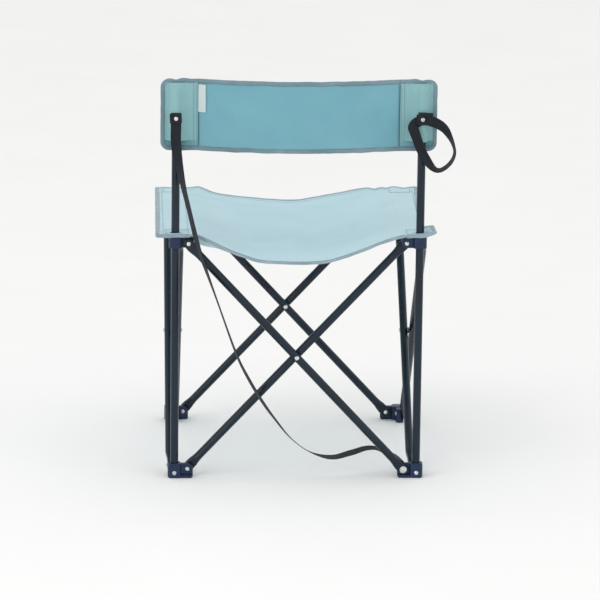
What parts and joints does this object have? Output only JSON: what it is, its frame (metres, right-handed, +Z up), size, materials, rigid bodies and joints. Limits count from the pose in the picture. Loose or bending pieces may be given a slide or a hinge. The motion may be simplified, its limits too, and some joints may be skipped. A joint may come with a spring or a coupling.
{
  "type": "folding camp chair",
  "caption": "Low armless camp chair whose four scissor sides of round tube fold up between plastic feet and hubs, with a sling seat and a cloth back band.",
  "frame": {"origin": "on the floor, at the middle of the base between the four corners", "axes": "+X to the sitter's right, +Y forward from back to front, +Z up"},
  "size_m": [0.4659, 0.444, 0.646],
  "materials": {
    "tube_paint": "semi-gloss powder coat",
    "corner_plastic": "moulded, satin",
    "rivet_steel": "plated",
    "spacer_plastic": "moulded",
    "seat_cloth": "plain-weave polyester",
    "band_cloth": "plain-weave polyester",
    "webbing": "ribbed webbing"
  },
  "bodies": {
    "rear_left_post": {"foot_rear_left": "corner_plastic", "post_left": "tube_paint", "foot_screw_left": "rivet_steel", "band_screw_left": "rivet_steel", "band_sleeve_left": "band_cloth", "carry_strap": "webbing"},
    "rear_tube_a": {"tube_rear_a": "tube_paint", "rivet_rear_a_hub": "rivet_steel", "rivet_rear_a_foot": "rivet_steel", "cross_rivet_rear": "rivet_steel", "spacer_rear": "spacer_plastic"},
    "rear_tube_b": {"tube_rear_b": "tube_paint", "rivet_rear_b_hub": "rivet_steel", "strap_rivet": "rivet_steel"},
    "left_tube_a": {"tube_left_a": "tube_paint", "rivet_left_a_hub": "rivet_steel", "rivet_left_a_foot": "rivet_steel", "cross_rivet_left": "rivet_steel", "spacer_left": "spacer_plastic"},
    "left_tube_b": {"tube_left_b": "tube_paint", "rivet_left_b_hub": "rivet_steel", "rivet_left_b_foot": "rivet_steel"},
    "right_tube_a": {"tube_right_a": "tube_paint", "rivet_right_a_hub": "rivet_steel", "rivet_right_a_foot": "rivet_steel", "cross_rivet_right": "rivet_steel", "spacer_right": "spacer_plastic"},
    "right_tube_b": {"tube_right_b": "tube_paint", "rivet_right_b_hub": "rivet_steel", "rivet_right_b_foot": "rivet_steel"},
    "front_tube_a": {"tube_front_a": "tube_paint", "rivet_front_a_hub": "rivet_steel", "rivet_front_a_foot": "rivet_steel", "cross_rivet_front": "rivet_steel", "spacer_front": "spacer_plastic"},
    "front_tube_b": {"tube_front_b": "tube_paint", "rivet_front_b_hub": "rivet_steel", "rivet_front_b_foot": "rivet_steel"},
    "rear_right_post": {"foot_rear_right": "corner_plastic", "post_right": "tube_paint", "foot_screw_right": "rivet_steel", "band_screw_right": "rivet_steel", "band_sleeve_right": "band_cloth", "loop_strap": "webbing"},
    "rear_left_hub": {"hub_rear_left": "corner_plastic", "seat_corner_rear_left": "seat_cloth", "seat_side_left": "seat_cloth"},
    "rear_right_hub": {"hub_rear_right": "corner_plastic", "seat_corner_rear_right": "seat_cloth", "seat_side_right": "seat_cloth"},
    "front_left_hub": {"hub_front_left": "corner_plastic", "seat_corner_front_left": "seat_cloth"},
    "front_right_hub": {"hub_front_right": "corner_plastic", "seat_corner_front_right": "seat_cloth"},
    "front_left_foot": {"foot_front_left": "corner_plastic"},
    "front_right_foot": {"foot_front_right": "corner_plastic"},
    "seat_left_half": {"seat_panel_left": "seat_cloth"},
    "seat_right_half": {"seat_panel_right": "seat_cloth"},
    "band_left_half": {"band_panel_left": "band_cloth"},
    "band_right_half": {"band_panel_right": "band_cloth"}
  },
  "joints": [
    {"name": "fold", "type": "hinge", "parent": "rear_left_post", "child": "rear_tube_a", "pos_m": [-0.174, -0.195, 0.0141], "axis": [0, -1, 0], "range_deg": [0, 32], "deforming": ["seat_side_left", "seat_side_right", "carry_strap"]},
    {"name": "rear_crossing", "type": "hinge", "parent": "rear_tube_a", "child": "rear_tube_b", "pos_m": [0, -0.195, 0.1993], "axis": [0, 1, 0], "range_deg": [0, 64]},
    {"name": "rear_right_foot_pivot", "type": "hinge", "parent": "rear_tube_b", "child": "rear_right_post", "pos_m": [0.174, -0.195, 0.0141], "axis": [0, -1, 0], "range_deg": [0, 32]},
    {"name": "rear_right_hub_pivot", "type": "hinge", "parent": "rear_tube_a", "child": "rear_right_hub", "pos_m": [0.174, -0.195, 0.3845], "axis": [0, 1, 0], "range_deg": [0, 32]},
    {"name": "rear_left_hub_pivot", "type": "hinge", "parent": "rear_tube_b", "child": "rear_left_hub", "pos_m": [-0.174, -0.195, 0.3845], "axis": [0, -1, 0], "range_deg": [0, 32]},
    {"name": "left_foot_pivot", "type": "hinge", "parent": "rear_left_post", "child": "left_tube_a", "pos_m": [-0.195, -0.174, 0.0141], "axis": [1, 0, 0], "range_deg": [0, 32]},
    {"name": "left_crossing", "type": "hinge", "parent": "left_tube_a", "child": "left_tube_b", "pos_m": [-0.195, 0, 0.1993], "axis": [-1, 0, 0], "range_deg": [0, 64]},
    {"name": "front_left_foot_pivot", "type": "hinge", "parent": "left_tube_b", "child": "front_left_foot", "pos_m": [-0.195, 0.174, 0.0141], "axis": [1, 0, 0], "range_deg": [0, 32]},
    {"name": "front_left_hub_pivot", "type": "hinge", "parent": "left_tube_a", "child": "front_left_hub", "pos_m": [-0.195, 0.174, 0.3845], "axis": [-1, 0, 0], "range_deg": [0, 32]},
    {"name": "right_foot_pivot", "type": "hinge", "parent": "rear_right_post", "child": "right_tube_a", "pos_m": [0.195, -0.174, 0.0141], "axis": [1, 0, 0], "range_deg": [0, 32]},
    {"name": "right_crossing", "type": "hinge", "parent": "right_tube_a", "child": "right_tube_b", "pos_m": [0.195, 0, 0.1993], "axis": [-1, 0, 0], "range_deg": [0, 64]},
    {"name": "front_right_foot_pivot", "type": "hinge", "parent": "right_tube_b", "child": "front_right_foot", "pos_m": [0.195, 0.174, 0.0141], "axis": [1, 0, 0], "range_deg": [0, 32]},
    {"name": "front_right_hub_pivot", "type": "hinge", "parent": "right_tube_a", "child": "front_right_hub", "pos_m": [0.195, 0.174, 0.3845], "axis": [-1, 0, 0], "range_deg": [0, 32]},
    {"name": "front_foot_pivot", "type": "hinge", "parent": "front_left_foot", "child": "front_tube_a", "pos_m": [-0.174, 0.195, 0.0141], "axis": [0, -1, 0], "range_deg": [0, 32]},
    {"name": "front_crossing", "type": "hinge", "parent": "front_tube_a", "child": "front_tube_b", "pos_m": [0, 0.195, 0.1993], "axis": [0, 1, 0], "range_deg": [0, 64]},
    {"name": "seat_left_fold", "type": "hinge", "parent": "rear_left_hub", "child": "seat_left_half", "pos_m": [-0.172, 0, 0.398], "axis": [0, 1, 0], "range_deg": [0, 62.4], "deforming": ["seat_panel_left"]},
    {"name": "seat_right_fold", "type": "hinge", "parent": "rear_right_hub", "child": "seat_right_half", "pos_m": [0.172, 0, 0.398], "axis": [0, -1, 0], "range_deg": [0, 62.4], "deforming": ["seat_panel_right"]},
    {"name": "band_left_fold", "type": "hinge", "parent": "rear_left_post", "child": "band_left_half", "pos_m": [-0.16, -0.1873, 0.533], "axis": [0, 0, -1], "range_deg": [0, 77.12], "deforming": ["band_panel_left"]},
    {"name": "band_right_fold", "type": "hinge", "parent": "rear_right_post", "child": "band_right_half", "pos_m": [0.16, -0.1873, 0.533], "axis": [0, 0, 1], "range_deg": [0, 77.12], "deforming": ["band_panel_right"]}
  ],
  "couplings": [
    {"joint": "rear_crossing", "follows": "fold", "ratio": 2},
    {"joint": "rear_right_foot_pivot", "follows": "fold", "ratio": 1},
    {"joint": "rear_right_hub_pivot", "follows": "fold", "ratio": 1},
    {"joint": "rear_left_hub_pivot", "follows": "fold", "ratio": 1},
    {"joint": "left_foot_pivot", "follows": "fold", "ratio": 1},
    {"joint": "left_crossing", "follows": "fold", "ratio": 2},
    {"joint": "front_left_foot_pivot", "follows": "fold", "ratio": 1},
    {"joint": "front_left_hub_pivot", "follows": "fold", "ratio": 1},
    {"joint": "right_foot_pivot", "follows": "fold", "ratio": 1},
    {"joint": "right_crossing", "follows": "fold", "ratio": 2},
    {"joint": "front_right_foot_pivot", "follows": "fold", "ratio": 1},
    {"joint": "front_right_hub_pivot", "follows": "fold", "ratio": 1},
    {"joint": "front_foot_pivot", "follows": "fold", "ratio": 1},
    {"joint": "front_crossing", "follows": "fold", "ratio": 2},
    {"joint": "seat_left_fold", "follows": "fold", "ratio": 1.95},
    {"joint": "seat_right_fold", "follows": "fold", "ratio": 1.95},
    {"joint": "band_left_fold", "follows": "fold", "ratio": 2.41},
    {"joint": "band_right_fold", "follows": "fold", "ratio": 2.41}
  ]
}
